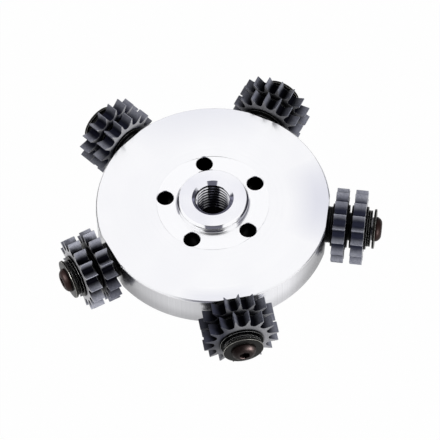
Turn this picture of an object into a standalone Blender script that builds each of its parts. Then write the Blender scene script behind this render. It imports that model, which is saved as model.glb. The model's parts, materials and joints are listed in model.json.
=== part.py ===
"""Rotary milling head for renovation and scarifying machines.

A turned aluminium carrier disc has a threaded hub boss and five radial axle screws. Each
screw clamps a sleeve against a flat on the rim, and two pointed star wheels spin freely
on that sleeve between loose washers. The loose stack can also float a little along it.

Units are metres and +Z is up. The origin lies on the spin axis at the disc's
mid-thickness, where the five axle lines meet. +Z points out of the hub boss. Station 1
lies on +X, and the others follow every 72 degrees, anticlockwise seen from +Z.
"""

import math

import bmesh
import bpy
from mathutils import Matrix

MM = 0.001

# Carrier disc
STATIONS = 5
DISC_RADIUS = 50.0 * MM
DISC_THICKNESS = 16.0 * MM
RIM_CHAMFER = 0.6 * MM
FLAT_DISTANCE = 48.95 * MM
FACING_RADIUS = 23.85 * MM
FACING_DEPTH = 0.15 * MM
BOLT_CIRCLE_RADIUS = 20.5 * MM
BOLT_HOLE_RADIUS = 3.5 * MM

# Hub boss, with the plain bore at the minor diameter of its M16 x 2 thread
BOSS_RADIUS = 15.3 * MM
BOSS_TOP_RADIUS = 14.3 * MM
BOSS_CHAMFER_HEIGHT = 1.0 * MM
BOSS_HEIGHT = 3.5 * MM
BORE_RADIUS = 6.92 * MM
COUNTERSINK_RADIUS = 8.9 * MM

# Axle screw: M6 x 40 with a button head and a 4 mm hexagon socket
SCREW_RADIUS = 3.0 * MM
SCREW_LENGTH = 40.0 * MM
SCREW_POINT = 0.6 * MM
HEAD_RADIUS = 5.25 * MM
HEAD_HEIGHT = 2.65 * MM
HEAD_RIM = 0.5 * MM
HEAD_CROWN_RADIUS = 2.6 * MM
SOCKET_ACROSS_FLATS = 4.0 * MM
SOCKET_DEPTH = 2.0 * MM
TAPPED_HOLE_RADIUS = 3.15 * MM
TAPPED_HOLE_SPARE = 1.5 * MM

# Sleeve, and everything that turns or floats on it
SLEEVE_RADIUS = 5.0 * MM
CLAMPED_BORE_RADIUS = 3.25 * MM
RUNNING_BORE_RADIUS = 5.1 * MM
FACE_CLEARANCE = 0.1 * MM
SEAT_CLEARANCE = 0.05 * MM
AXIAL_FLOAT = 0.65 * MM

SPACER_RADIUS = 7.8 * MM
SPACER_THICKNESS = 1.9 * MM
THRUST_RADIUS = 9.2 * MM
THRUST_THICKNESS = 0.9 * MM
SPOOL_THICKNESS = 2.65 * MM
SPOOL_FLANGE = 0.85 * MM
SPOOL_CORE_RADIUS = 6.0 * MM
SHIM_RADIUS = 7.8 * MM
SHIM_THICKNESS = 0.75 * MM
HEAD_WASHER_RADIUS = 8.5 * MM
HEAD_WASHER_THICKNESS = 1.05 * MM

# Star wheels
TEETH = 16
TIP_RADIUS = 16.0 * MM
ROOT_RADIUS = 11.5 * MM
GULLET_RADIUS = 1.7 * MM
TIP_LAND = 0.35 * MM
WHEEL_THICKNESS = 5.2 * MM

# The wheels are loose, so each rests at its own angle: one tooth tip's angle in degrees
# from the station's tangent towards +Z, as (inner wheel, outer wheel)
WHEEL_REST_ANGLES = [(17.0, 17.0), (21.0, 9.5), (15.0, 9.5), (11.0, 2.5), (18.0, 9.0)]

# Facets round each kind of piece
DISC_FACETS = 75
RING_FACETS = 20
HOLE_FACETS = 16
GULLET_FACETS = 3
CROWN_FACETS = 2
SMOOTH_ANGLE = math.radians(32.0)

# How far a cutter runs past the faces that it cuts, and how near two points are one
OVERSHOOT = 2.0 * MM
MERGE_DISTANCE = 0.01 * MM

# Finishes: colour, roughness, metallic
FINISHES = {
    "turned_aluminium": ((0.86, 0.87, 0.88), 0.28, 1.0),
    "carbide": ((0.15, 0.16, 0.18), 0.55, 0.4),
    "black_steel": ((0.02, 0.02, 0.022), 0.35, 0.8),
    "bronzed_steel": ((0.05, 0.03, 0.028), 0.25, 0.9),
    "plain_steel": ((0.35, 0.35, 0.36), 0.35, 1.0),
}


# Scene helpers


def clear_scene():
    for obj in list(bpy.data.objects):
        bpy.data.objects.remove(obj, do_unlink=True)


def new_collection(name):
    collection = bpy.data.collections.new(name)
    bpy.context.scene.collection.children.link(collection)
    return collection


def new_material(slot):
    colour, roughness, metallic = FINISHES[slot]
    material = bpy.data.materials.new(slot)
    material.use_nodes = True
    shader = material.node_tree.nodes["Principled BSDF"]
    shader.inputs["Base Color"].default_value = (*colour, 1.0)
    shader.inputs["Roughness"].default_value = roughness
    shader.inputs["Metallic"].default_value = metallic
    return material


def add_part(name, mesh, slot, parent=None, along=0.0):
    """Adds a sub-part; along is its place on its parent's local Z, which is the axle line."""
    obj = bpy.data.objects.new(name, mesh)
    PARTS.objects.link(obj)
    obj.parent = parent
    obj.location.z = along
    mesh.materials.append(MATERIALS[slot])
    return obj


def add_cutter(name, shape):
    """Adds the bmesh as a cutter, which never renders."""
    mesh = bpy.data.meshes.new(name)
    shape.to_mesh(mesh)
    shape.free()
    obj = bpy.data.objects.new(name, mesh)
    CUTTERS.objects.link(obj)
    obj.hide_render = True
    obj.display_type = "WIRE"
    return obj


def cut(obj, cutter, name):
    boolean = obj.modifiers.new(name, "BOOLEAN")
    boolean.operation = "DIFFERENCE"
    boolean.solver = "EXACT"
    boolean.object = cutter


def add_turned(name, profile, facets, slot, parent=None, along=0.0, closed=True):
    """A piece turned about its local Z from (radius, height) points down its outer side."""
    mesh = bpy.data.meshes.new(name)
    corners = [(radius, 0.0, height) for radius, height in profile]
    edges = [(index, index + 1) for index in range(len(profile) - 1)]
    if closed:
        edges.append((len(profile) - 1, 0))
    mesh.from_pydata(corners, edges, [])
    obj = add_part(name, mesh, slot, parent, along)
    screw = obj.modifiers.new("Turn", "SCREW")
    screw.steps = facets
    screw.render_steps = facets
    screw.use_merge_vertices = True
    screw.merge_threshold = MERGE_DISTANCE
    return obj


def ring_profile(outer, inner, thickness):
    """The section of a washer or sleeve, down its outer side and back up its bore."""
    return [(outer, thickness), (outer, 0.0), (inner, 0.0), (inner, thickness)]


def settle_meshes(parts):
    """Replaces each part's mesh with its finished shape and shades its round walls smooth."""
    graph = bpy.context.evaluated_depsgraph_get()
    for obj in parts:
        finished = bpy.data.meshes.new_from_object(obj.evaluated_get(graph))
        finished.name = obj.name
        obj.modifiers.clear()
        obj.data = finished
        finished.shade_smooth()
        finished.set_sharp_from_angle(angle=SMOOTH_ANGLE)


# Carrier disc


def disc_profile():
    half = DISC_THICKNESS / 2.0
    boss_top = half + BOSS_HEIGHT
    countersink = COUNTERSINK_RADIUS - BORE_RADIUS
    return [
        (COUNTERSINK_RADIUS, boss_top),
        (BOSS_TOP_RADIUS, boss_top),
        (BOSS_RADIUS, boss_top - BOSS_CHAMFER_HEIGHT),
        (BOSS_RADIUS, half - FACING_DEPTH),
        (FACING_RADIUS, half - FACING_DEPTH),
        (FACING_RADIUS + FACING_DEPTH, half),
        (DISC_RADIUS - RIM_CHAMFER, half),
        (DISC_RADIUS, half - RIM_CHAMFER),
        (DISC_RADIUS, RIM_CHAMFER - half),
        (DISC_RADIUS - RIM_CHAMFER, -half),
        (COUNTERSINK_RADIUS, -half),
        (BORE_RADIUS, countersink - half),
        (BORE_RADIUS, boss_top - countersink),
    ]


def flats_cutter():
    """Five blocks whose inner faces are the rim flats."""
    shape = bmesh.new()
    depth = DISC_RADIUS - FLAT_DISTANCE + OVERSHOOT
    size = (depth, DISC_RADIUS, DISC_THICKNESS + 2.0 * OVERSHOOT)
    for station in range(STATIONS):
        place = Matrix.Rotation(station_angle(station), 4, "Z")
        place @= Matrix.Translation((FLAT_DISTANCE + depth / 2.0, 0.0, 0.0))
        place @= Matrix.Diagonal((*size, 1.0))
        bmesh.ops.create_cube(shape, size=1.0, matrix=place)
    return add_cutter("flats_cutter", shape)


def bolt_holes_cutter():
    """The five through holes, midway between the stations."""
    shape = bmesh.new()
    for station in range(STATIONS):
        angle = station_angle(station + 0.5)
        place = Matrix.Rotation(angle, 4, "Z")
        place @= Matrix.Translation((BOLT_CIRCLE_RADIUS, 0.0, 0.0))
        add_cylinder(shape, BOLT_HOLE_RADIUS, DISC_THICKNESS + 2.0 * OVERSHOOT, place)
    return add_cutter("bolt_holes_cutter", shape)


def tapped_holes_cutter():
    """The five blind holes that take the axle screws, drilled in from the rim flats."""
    shape = bmesh.new()
    bottom = screw_seat() - SCREW_LENGTH - TAPPED_HOLE_SPARE
    length = FLAT_DISTANCE + OVERSHOOT - bottom
    for station in range(STATIONS):
        place = Matrix.Rotation(station_angle(station), 4, "Z")
        place @= Matrix.Translation((bottom + length / 2.0, 0.0, 0.0))
        place @= Matrix.Rotation(math.radians(90.0), 4, "Y")
        add_cylinder(shape, TAPPED_HOLE_RADIUS, length, place)
    return add_cutter("tapped_holes_cutter", shape)


def add_cylinder(shape, radius, length, place):
    bmesh.ops.create_cone(
        shape,
        cap_ends=True,
        segments=HOLE_FACETS,
        radius1=radius,
        radius2=radius,
        depth=length,
        matrix=place,
    )


def build_disc():
    disc = add_turned("carrier_disc", disc_profile(), DISC_FACETS, "turned_aluminium")
    cut(disc, flats_cutter(), "Rim flats")
    cut(disc, bolt_holes_cutter(), "Bolt holes")
    cut(disc, tapped_holes_cutter(), "Tapped holes")


# Axle line: where each piece sits, measured outwards from the spin axis


def station_angle(station):
    return 2.0 * math.pi * station / STATIONS


def stack_places():
    """Inner face of every loose piece at rest, with the stack pushed in against the flat."""
    thicknesses = [
        ("inner_spacer", SPACER_THICKNESS),
        ("inner_thrust_washer", THRUST_THICKNESS),
        ("inner_star_wheel", WHEEL_THICKNESS),
        ("spool_spacer", SPOOL_THICKNESS),
        ("outer_star_wheel", WHEEL_THICKNESS),
        ("outer_thrust_washer", THRUST_THICKNESS),
        ("inner_shim", SHIM_THICKNESS),
        ("outer_shim", SHIM_THICKNESS),
    ]
    places = {}
    along = FLAT_DISTANCE + FACE_CLEARANCE
    for name, thickness in thicknesses:
        places[name] = along
        along += thickness + FACE_CLEARANCE
    places["head_washer"] = along + AXIAL_FLOAT
    return places


def screw_seat():
    """Distance from the spin axis to the underside of the screw heads."""
    return stack_places()["head_washer"] + HEAD_WASHER_THICKNESS + SEAT_CLEARANCE


# Pieces of one station; local Z is the axle line, pointing outwards


def screw_profile():
    """Down the outer side, from the crown to the point, about the screw's seat at zero."""
    rim_angle = math.atan2(HEAD_HEIGHT - HEAD_RIM, HEAD_RADIUS - HEAD_CROWN_RADIUS)
    crown = [(0.0, HEAD_HEIGHT)]
    for step in range(CROWN_FACETS + 1):
        turn = rim_angle * step / CROWN_FACETS
        radius = HEAD_CROWN_RADIUS + (HEAD_RADIUS - HEAD_CROWN_RADIUS) * math.sin(
            turn
        ) / math.sin(rim_angle)
        drop = (HEAD_HEIGHT - HEAD_RIM) * (1.0 - math.cos(turn)) / (1.0 - math.cos(rim_angle))
        crown.append((radius, HEAD_HEIGHT - drop))
    shank = [
        (HEAD_RADIUS, 0.0),
        (SCREW_RADIUS, 0.0),
        (SCREW_RADIUS, SCREW_POINT - SCREW_LENGTH),
        (SCREW_RADIUS - SCREW_POINT, -SCREW_LENGTH),
        (0.0, -SCREW_LENGTH),
    ]
    return crown + shank


def build_screw(suffix, station):
    screw = add_turned(
        "axle_screw" + suffix,
        screw_profile(),
        RING_FACETS,
        "bronzed_steel",
        station,
        screw_seat(),
        closed=False,
    )
    socket = bmesh.new()
    depth = SOCKET_DEPTH + OVERSHOOT
    across_corners = SOCKET_ACROSS_FLATS / math.cos(math.radians(30.0))
    bmesh.ops.create_cone(
        socket,
        cap_ends=True,
        segments=6,
        radius1=across_corners / 2.0,
        radius2=across_corners / 2.0,
        depth=depth,
    )
    cutter = add_cutter("socket_cutter" + suffix, socket)
    cutter.parent = station
    cutter.location.z = screw_seat() + HEAD_HEIGHT - SOCKET_DEPTH + depth / 2.0
    cut(screw, cutter, "Hexagon socket")


def build_ring(name, suffix, station, outer, thickness, slot, bore=RUNNING_BORE_RADIUS):
    profile = ring_profile(outer, bore, thickness)
    add_turned(name + suffix, profile, RING_FACETS, slot, station, stack_places()[name])


def build_sleeve(suffix, station):
    start = FLAT_DISTANCE + SEAT_CLEARANCE
    length = stack_places()["head_washer"] - SEAT_CLEARANCE - start
    profile = ring_profile(SLEEVE_RADIUS, CLAMPED_BORE_RADIUS, length)
    add_turned("sleeve" + suffix, profile, RING_FACETS, "plain_steel", station, start)


def build_spool(suffix, station):
    """Two thrust flanges on one core, which keeps the wheels apart."""
    upper_flange = SPOOL_THICKNESS - SPOOL_FLANGE
    profile = [
        (THRUST_RADIUS, SPOOL_THICKNESS),
        (THRUST_RADIUS, upper_flange),
        (SPOOL_CORE_RADIUS, upper_flange),
        (SPOOL_CORE_RADIUS, SPOOL_FLANGE),
        (THRUST_RADIUS, SPOOL_FLANGE),
        (THRUST_RADIUS, 0.0),
        (RUNNING_BORE_RADIUS, 0.0),
        (RUNNING_BORE_RADIUS, SPOOL_THICKNESS),
    ]
    place = stack_places()["spool_spacer"]
    add_turned("spool_spacer" + suffix, profile, RING_FACETS, "black_steel", station, place)


def tooth_outline():
    """One tooth tip and the gullet after it, as (radius, angle) points from the tip's centre.

    The gullet's floor is an arc about a point on its centre line, and each flank is
    the straight line from the tip's corner to where it touches that arc.
    """
    pitch = 2.0 * math.pi / TEETH
    land = TIP_LAND / 2.0 / TIP_RADIUS
    centre = ROOT_RADIUS + GULLET_RADIUS
    # The tip's corner, seen from the gullet's centre: along the centre line and across it
    ahead = TIP_RADIUS * math.cos(pitch / 2.0 - land) - centre
    across = TIP_RADIUS * math.sin(pitch / 2.0 - land)
    to_corner = math.atan2(across, ahead)
    touch = to_corner + math.acos(GULLET_RADIUS / math.hypot(ahead, across))
    points = [(TIP_RADIUS, -land), (TIP_RADIUS, land)]
    for step in range(GULLET_FACETS + 1):
        turn = -touch + (2.0 * touch - 2.0 * math.pi) * step / GULLET_FACETS
        x = centre + GULLET_RADIUS * math.cos(turn)
        y = GULLET_RADIUS * math.sin(turn)
        points.append((math.hypot(x, y), pitch / 2.0 + math.atan2(y, x)))
    return points


def wheel_mesh():
    """A 2D curve of the toothed rim and the bore, extruded to the wheel's thickness."""
    rim = []
    for tooth in range(TEETH):
        start = 2.0 * math.pi * tooth / TEETH
        rim += [(radius, start + angle) for radius, angle in tooth_outline()]
    bore = [
        (RUNNING_BORE_RADIUS, 2.0 * math.pi * step / RING_FACETS) for step in range(RING_FACETS)
    ]
    curve = bpy.data.curves.new("star_wheel", "CURVE")
    curve.dimensions = "2D"
    curve.fill_mode = "BOTH"
    curve.extrude = WHEEL_THICKNESS / 2.0
    for outline in (rim, bore):
        spline = curve.splines.new("POLY")
        spline.points.add(len(outline) - 1)
        spline.use_cyclic_u = True
        for point, (radius, angle) in zip(spline.points, outline):
            point.co = (radius * math.cos(angle), radius * math.sin(angle), 0.0, 1.0)
    drawn = bpy.data.objects.new("star_wheel", curve)
    mesh = bpy.data.meshes.new_from_object(drawn)
    bpy.data.objects.remove(drawn)
    shape = bmesh.new()
    shape.from_mesh(mesh)
    bmesh.ops.remove_doubles(shape, verts=shape.verts, dist=MERGE_DISTANCE)
    bmesh.ops.recalc_face_normals(shape, faces=shape.faces)
    bmesh.ops.translate(shape, verts=shape.verts, vec=(0.0, 0.0, WHEEL_THICKNESS / 2.0))
    shape.to_mesh(mesh)
    shape.free()
    return mesh


def build_wheel(name, suffix, station, rest_angle):
    wheel = add_part(name + suffix, wheel_mesh(), "carbide", station, stack_places()[name])
    # Local Y is the station's tangent, so a tip at the rest angle is a quarter turn further
    wheel.rotation_euler.z = math.radians(rest_angle + 90.0)


def build_station(index):
    suffix = "_" + str(index + 1)
    station = bpy.data.objects.new("station" + suffix, None)
    PARTS.objects.link(station)
    station.rotation_euler = (0.0, math.radians(90.0), station_angle(index))
    inner_angle, outer_angle = WHEEL_REST_ANGLES[index]

    build_screw(suffix, station)
    build_sleeve(suffix, station)
    build_ring("inner_spacer", suffix, station, SPACER_RADIUS, SPACER_THICKNESS, "black_steel")
    build_ring(
        "inner_thrust_washer", suffix, station, THRUST_RADIUS, THRUST_THICKNESS, "black_steel"
    )
    build_wheel("inner_star_wheel", suffix, station, inner_angle)
    build_spool(suffix, station)
    build_wheel("outer_star_wheel", suffix, station, outer_angle)
    build_ring(
        "outer_thrust_washer", suffix, station, THRUST_RADIUS, THRUST_THICKNESS, "black_steel"
    )
    build_ring("inner_shim", suffix, station, SHIM_RADIUS, SHIM_THICKNESS, "black_steel")
    build_ring("outer_shim", suffix, station, SHIM_RADIUS, SHIM_THICKNESS, "black_steel")
    build_ring(
        "head_washer",
        suffix,
        station,
        HEAD_WASHER_RADIUS,
        HEAD_WASHER_THICKNESS,
        "bronzed_steel",
        bore=CLAMPED_BORE_RADIUS,
    )


clear_scene()
PARTS = new_collection("milling_head")
CUTTERS = new_collection("cutters")
MATERIALS = {slot: new_material(slot) for slot in FINISHES}

build_disc()
for station_index in range(STATIONS):
    build_station(station_index)
settle_meshes([obj for obj in PARTS.objects if obj.type == "MESH"])
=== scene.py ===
"""Looks of the rotary milling head: finer turned and ground pieces, materials and studio."""

import json
import math

import bmesh
import bpy
from mathutils import Matrix, Vector, noise


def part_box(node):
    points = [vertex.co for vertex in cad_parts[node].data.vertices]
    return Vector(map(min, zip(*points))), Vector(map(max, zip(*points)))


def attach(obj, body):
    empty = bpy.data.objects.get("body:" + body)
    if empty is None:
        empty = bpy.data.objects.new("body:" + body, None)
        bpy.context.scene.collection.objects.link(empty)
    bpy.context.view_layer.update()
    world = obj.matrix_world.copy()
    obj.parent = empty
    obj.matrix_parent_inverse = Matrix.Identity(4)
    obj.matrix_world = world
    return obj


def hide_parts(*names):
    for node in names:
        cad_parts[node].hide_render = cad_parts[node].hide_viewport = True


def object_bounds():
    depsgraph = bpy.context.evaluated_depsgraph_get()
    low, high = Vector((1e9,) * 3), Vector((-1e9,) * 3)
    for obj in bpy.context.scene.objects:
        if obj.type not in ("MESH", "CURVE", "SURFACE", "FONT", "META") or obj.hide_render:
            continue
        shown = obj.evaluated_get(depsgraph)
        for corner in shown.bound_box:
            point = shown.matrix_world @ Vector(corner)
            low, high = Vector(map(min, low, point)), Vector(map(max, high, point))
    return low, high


MM = 0.001
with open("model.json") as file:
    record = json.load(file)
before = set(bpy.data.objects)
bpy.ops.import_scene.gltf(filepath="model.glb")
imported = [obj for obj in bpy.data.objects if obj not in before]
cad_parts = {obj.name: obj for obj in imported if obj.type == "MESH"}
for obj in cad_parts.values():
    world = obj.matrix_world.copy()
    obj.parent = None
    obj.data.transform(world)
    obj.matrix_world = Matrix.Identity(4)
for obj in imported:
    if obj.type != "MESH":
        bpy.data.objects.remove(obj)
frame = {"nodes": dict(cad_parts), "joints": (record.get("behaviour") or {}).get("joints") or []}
CAD_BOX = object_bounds()

# Stations round the disc, and the angle between two of them
STATION_COUNT = 5
SPACING = math.radians(72.0)

# Facets round the finer pieces
DISC_FACETS = 288
RING_FACETS = 72
HOLE_FACETS = 48
FILLET_STEPS = 3

# Carrier disc: sizes that the frame's box doesn't give
RIM_CHAMFER = 0.6 * MM
FACING_RADIUS = 23.85 * MM
FACING_DEPTH = 0.15 * MM
BOSS_RADIUS = 15.3 * MM
BOSS_TOP_RADIUS = 14.3 * MM
BOSS_HEIGHT = 3.5 * MM
BOSS_FILLET = 0.3 * MM
EDGE_ROUND = 0.1 * MM
BOSS_EDGE_ROUND = 0.15 * MM
FLAT_DISTANCE = 48.95 * MM
FLAT_CUT_DEPTH = 6.0 * MM
BOLT_CIRCLE_RADIUS = 20.5 * MM
BOLT_HOLE_RADIUS = 3.5 * MM
BOLT_HOLE_CHAMFER = 0.25 * MM
TAPPED_HOLE_RADIUS = 3.1 * MM
TAPPED_HOLE_ROOM = 1.5 * MM
COUNTERSINK_RADIUS = 8.9 * MM
CUTTER_SPARE = 2.0 * MM

# Spindle thread, M16 x 2
THREAD_PITCH = 2.0 * MM
THREAD_MINOR_RADIUS = 6.92 * MM
THREAD_MAJOR_RADIUS = 8.0 * MM
THREAD_RINGS_PER_TURN = 12

# Star wheels
TEETH = 16
ROOT_RADIUS = 11.5 * MM
GULLET_RADIUS = 1.7 * MM
TIP_LAND = 0.35 * MM
GULLET_STEPS = 9
FLANK_STEPS = 3
WHEEL_EDGE = 0.12 * MM
RUNNING_BORE_RADIUS = 5.1 * MM
RUNNING_BORE_CHAMFER = 0.25 * MM
NECK_RADIUS = 10.7 * MM
TOOTH_HEIGHT = 4.5 * MM
CHIP_DEPTH = 0.06 * MM
CHIP_SCALE = 900.0

# Spacers
SPACER_GROOVE = 0.3 * MM
SPOOL_FLANGE = 0.85 * MM
SPOOL_CORE_RADIUS = 6.0 * MM

# Screws
SHANK_RADIUS = 3.0 * MM
SHANK_CHAMFER = 0.6 * MM
SEAT_GAP = 0.05 * MM
AXIS_RING_RADIUS = 0.02 * MM
HEAD_RIM = 0.5 * MM
HEAD_ROUND = 0.12 * MM
NECK_ROUND = 0.2 * MM
CROWN_RADIUS = 2.6 * MM
SOCKET_SIDES = 6
SOCKET_ACROSS_FLATS = 4.0 * MM
SOCKET_DEPTH = 2.0 * MM
SOCKET_POINT_DEPTH = 0.5 * MM
SOCKET_POINT_RADIUS = 0.2 * MM
SOCKET_CHAMFER = 0.15 * MM
SOCKET_SPARE = 0.5 * MM
CROWN_ARC = math.radians(66.0)
CROWN_STEPS = 10
CROWN_ROOM = 0.13 * MM

# Camera, relative to the disc
CAMERA_AZIMUTH = math.radians(9.12)
CAMERA_ELEVATION = math.radians(56.47)
CAMERA_ROLL = math.radians(-1.87)
CAMERA_DISTANCE = 1.088
CAMERA_SLIDE = (2.75 * MM, -7.6 * MM)
CAMERA_LENS = 209.0
CAMERA_SENSOR_WIDTH = 36.0

# Softboxes: name, azimuth from the camera's and elevation in degrees, size in metres,
# radiance, and the family it lights
SOFTBOX_DISTANCE = 0.9
SOFTBOXES = (
    ("carbide_right", 60.0, 30.0, 0.3, 24.0, "carbide"),
    ("carbide_front", 30.0, 30.0, 0.3, 3.0, "carbide"),
    ("carbide_left", -60.0, 14.0, 0.3, 14.0, "left_carbide"),
    ("steel_right", 64.0, 28.0, 0.2, 40.0, "steel"),
    ("steel_left", -60.0, 22.0, 0.2, 30.0, "steel"),
    ("front_head_right", 52.0, 2.0, 0.34, 340.0, "front_head"),
    ("heads_right", 46.0, 6.0, 0.3, 90.0, "heads"),
    ("heads_left", -75.0, 20.0, 0.3, 90.0, "heads"),
)

# Floor, in metres
FLOOR_GAP = 0.05 * MM
FLOOR_HALF_WIDTH = 1.5

# Colours of the studio
WHITE = (1.0, 1.0, 1.0, 1.0)
TENT_WHITE = (1.0, 1.0, 1.02, 1.0)
OPENING_LOW = (0.15, 0.15, 0.19, 1.0)
OPENING_HIGH = (0.02, 0.02, 0.024, 1.0)
HORIZON = (0.06, 0.06, 0.08, 1.0)
PAPER_DARK = (0.86, 0.86, 0.86, 1.0)
PAPER_LIGHT = (0.9, 0.9, 0.9, 1.0)
# Painted shadow of the disc on the floor beneath it
UNDER_DISC_PAINTED_SHADOW = (0.01, 0.01, 0.01, 1.0)
FAR_FLOOR = (0.03, 0.03, 0.035, 1.0)

# Colours of the disc
BRIGHT_METAL = (0.94, 0.94, 0.947, 1.0)
PALE_METAL = (0.97, 0.97, 0.97, 1.0)
FACED_METAL = (0.985, 0.985, 0.985, 1.0)
# Painted shade of the turned face's reflections, in fans
LILAC_PAINTED_SHADE = (0.74, 0.745, 0.81, 1.0)
TOOL_LINE = (0.86, 0.865, 0.885, 1.0)
# Painted lilac shade on the boss top, in soft clouds
BOSS_SHADE_DARK = (0.83, 0.83, 0.88, 1.0)
BOSS_SHADE_LIGHT = (0.95, 0.95, 0.96, 1.0)
# Painted dark reflection on the boss wall
WALL_PAINTED_REFLECTION = (0.22, 0.22, 0.27, 1.0)
RIM_STREAK = (0.2, 0.2, 0.23, 1.0)
# Painted shade in the thread's roots
THREAD_ROOT_SHADE = (0.012, 0.012, 0.014, 1.0)
THREAD_CREST = (0.9, 0.9, 0.92, 1.0)
# Painted shade in the bolt holes, at the mouth and deeper down
HOLE_MOUTH_SHADE = (0.09, 0.09, 0.095, 1.0)
HOLE_DEPTH_SHADE = (0.002, 0.002, 0.002, 1.0)
# Painted reflection colour and painted glow inside the bore
BORE_PAINTED_REFLECTION = (0.14, 0.14, 0.19, 1.0)
BORE_PAINTED_GLOW = (0.8, 0.8, 1.0, 1.0)

# Colours of the star wheels
FLANK_DARK = (0.265, 0.272, 0.33, 1.0)
FLANK_LIGHT = (0.38, 0.388, 0.44, 1.0)
SIDE_DARK = (0.34, 0.34, 0.355, 1.0)
SIDE_LIGHT = (0.47, 0.47, 0.49, 1.0)
# Painted shade in the gullets and between the wheels
GULLET_SHADE = (0.003, 0.003, 0.005, 1.0)
EVEN_GULLET_SHADE = (0.024, 0.026, 0.045, 1.0)
# Painted shade on stations 2 and 5
STATION_SHADE = (0.018, 0.022, 0.042, 1.0)
SPECKLE = (0.06, 0.063, 0.085, 1.0)
SHADOW = (0.018, 0.02, 0.04, 1.0)
# Lighter edges: wear and a painted highlight
EDGE_WEAR_AND_GLINT = (0.45, 0.45, 0.48, 1.0)

# Finishes of the steel pieces; one value sets how much light bare metal the edges show, for wear and
# for painted glints
STEELS = {
    "black_steel": {
        "colour": (0.0015, 0.0015, 0.0017, 1.0),
        "glint_wear_colour": (0.75, 0.75, 0.74, 1.0),
        "roughness": 0.22,
        "glint_wear": 0.55,
        "sheen": 0.03,
    },
    # A shaded copy of black steel, with fewer and dimmer light edges, for the pieces tucked in shade
    "shaded_black_steel": {
        "colour": (0.002, 0.002, 0.0022, 1.0),
        "glint_wear_colour": (0.6, 0.6, 0.6, 1.0),
        "roughness": 0.3,
        "glint_wear": 0.12,
        "sheen": 0.04,
    },
    "head_washer": {
        "colour": (0.01, 0.0097, 0.009, 1.0),
        "glint_wear_colour": (0.7, 0.69, 0.63, 1.0),
        "roughness": 0.3,
        "glint_wear": 0.8,
    },
    "bronzed_steel": {
        "colour": (0.0055, 0.0022, 0.0019, 1.0),
        "glint_wear_colour": (0.3, 0.2, 0.19, 1.0),
        "roughness": 0.46,
        "glint_wear": 0.0,
        "sheen": 0.1,
        "tint": (1.0, 0.72, 0.68, 1.0),
    },
    "plain_steel": {
        "colour": (0.3, 0.3, 0.31, 1.0),
        "glint_wear_colour": (0.6, 0.6, 0.6, 1.0),
        "roughness": 0.3,
        "glint_wear": 0.5,
        "metallic": 1.0,
    },
}

# Painted reflection and shade on the rim, as its grey by bearing in degrees, once round
RIM_REFLECTION_TONES = (
    (219.0, 0.1), (228.0, 0.3), (240.0, 0.55), (258.0, 0.7), (270.0, 0.62), (284.0, 0.5),
    (294.0, 1.0), (316.0, 0.95), (330.0, 0.55), (345.0, 0.26), (356.0, 0.13), (380.0, 0.6),
)

UP = Vector((0.0, 0.0, 1.0))
WORK = bpy.data.collections.new("visual")
bpy.context.scene.collection.children.link(WORK)

# Families of pieces, each lit by its own softboxes
FAMILIES = ("carbide", "left_carbide", "steel", "heads", "front_head")
LIT = {family: bpy.data.collections.new("lit_" + family) for family in FAMILIES}


# Measuring the frame


class Station:
    """One axle line of the frame, and where its nodes sit along it."""

    def __init__(self, index):
        self.suffix = "_" + str(index)
        joint = next(j for j in frame["joints"] if j["name"] == "stack_float" + self.suffix)
        self.axis = Vector(joint["axis"]).normalized()
        self.tangent = UP.cross(self.axis)
        # Local Z runs out along the axle, local Y is the tangent and local X points down
        self.matrix = Matrix((-UP, self.tangent, self.axis)).transposed().to_4x4()

    def measure(self, kind):
        """(start, end, inner radius, outer radius) of a node along and about the axle."""
        mesh = frame["nodes"][kind + self.suffix].data
        along = [v.co.dot(self.axis) for v in mesh.vertices]
        radii = [v.co.cross(self.axis).length for v in mesh.vertices]
        return min(along), max(along), min(radii), max(radii)

    def rest_angle(self, kind):
        """Angle of one tooth tip about the axle in local X and Y, from the CAD wheel's tips."""
        mesh = frame["nodes"][kind + self.suffix].data
        outer = self.measure(kind)[3]
        to_local = self.matrix.inverted()
        total = Vector((0.0, 0.0))
        for vertex in mesh.vertices:
            local = to_local @ vertex.co
            if math.hypot(local.x, local.y) > outer * 0.995:
                turn = math.atan2(local.y, local.x) * TEETH
                total += Vector((math.cos(turn), math.sin(turn)))
        return math.atan2(total.y, total.x) / TEETH


# Mesh helpers


def add_mesh(name, shape, material, place=None):
    """New object at the origin, with its place in its vertices."""
    mesh = bpy.data.meshes.new(name)
    if place:
        shape.transform(place)
    shape.to_mesh(mesh)
    shape.free()
    mesh.materials.append(material)
    obj = bpy.data.objects.new(name, mesh)
    WORK.objects.link(obj)
    return obj


def ring(shape, radius, height, steps, middle=(0.0, 0.0)):
    """Vertices round a circle in the XY plane."""
    vertices = []
    for step in range(steps):
        angle = 2.0 * math.pi * step / steps
        across = middle[0] + radius * math.cos(angle)
        along = middle[1] + radius * math.sin(angle)
        vertices.append(shape.verts.new((across, along, height)))
    return vertices


def bridge(shape, loops):
    """Quads between each loop of vertices and the next."""
    for this, following in zip(loops, loops[1:]):
        for step in range(len(this)):
            after = (step + 1) % len(this)
            shape.faces.new((this[step], following[step], following[after], this[after]))


def cap_ends(shape, loops):
    """Turns a row of bridged loops into a closed solid."""
    shape.faces.new(loops[0])
    shape.faces.new(loops[-1])
    bmesh.ops.recalc_face_normals(shape, faces=shape.faces)


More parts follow.
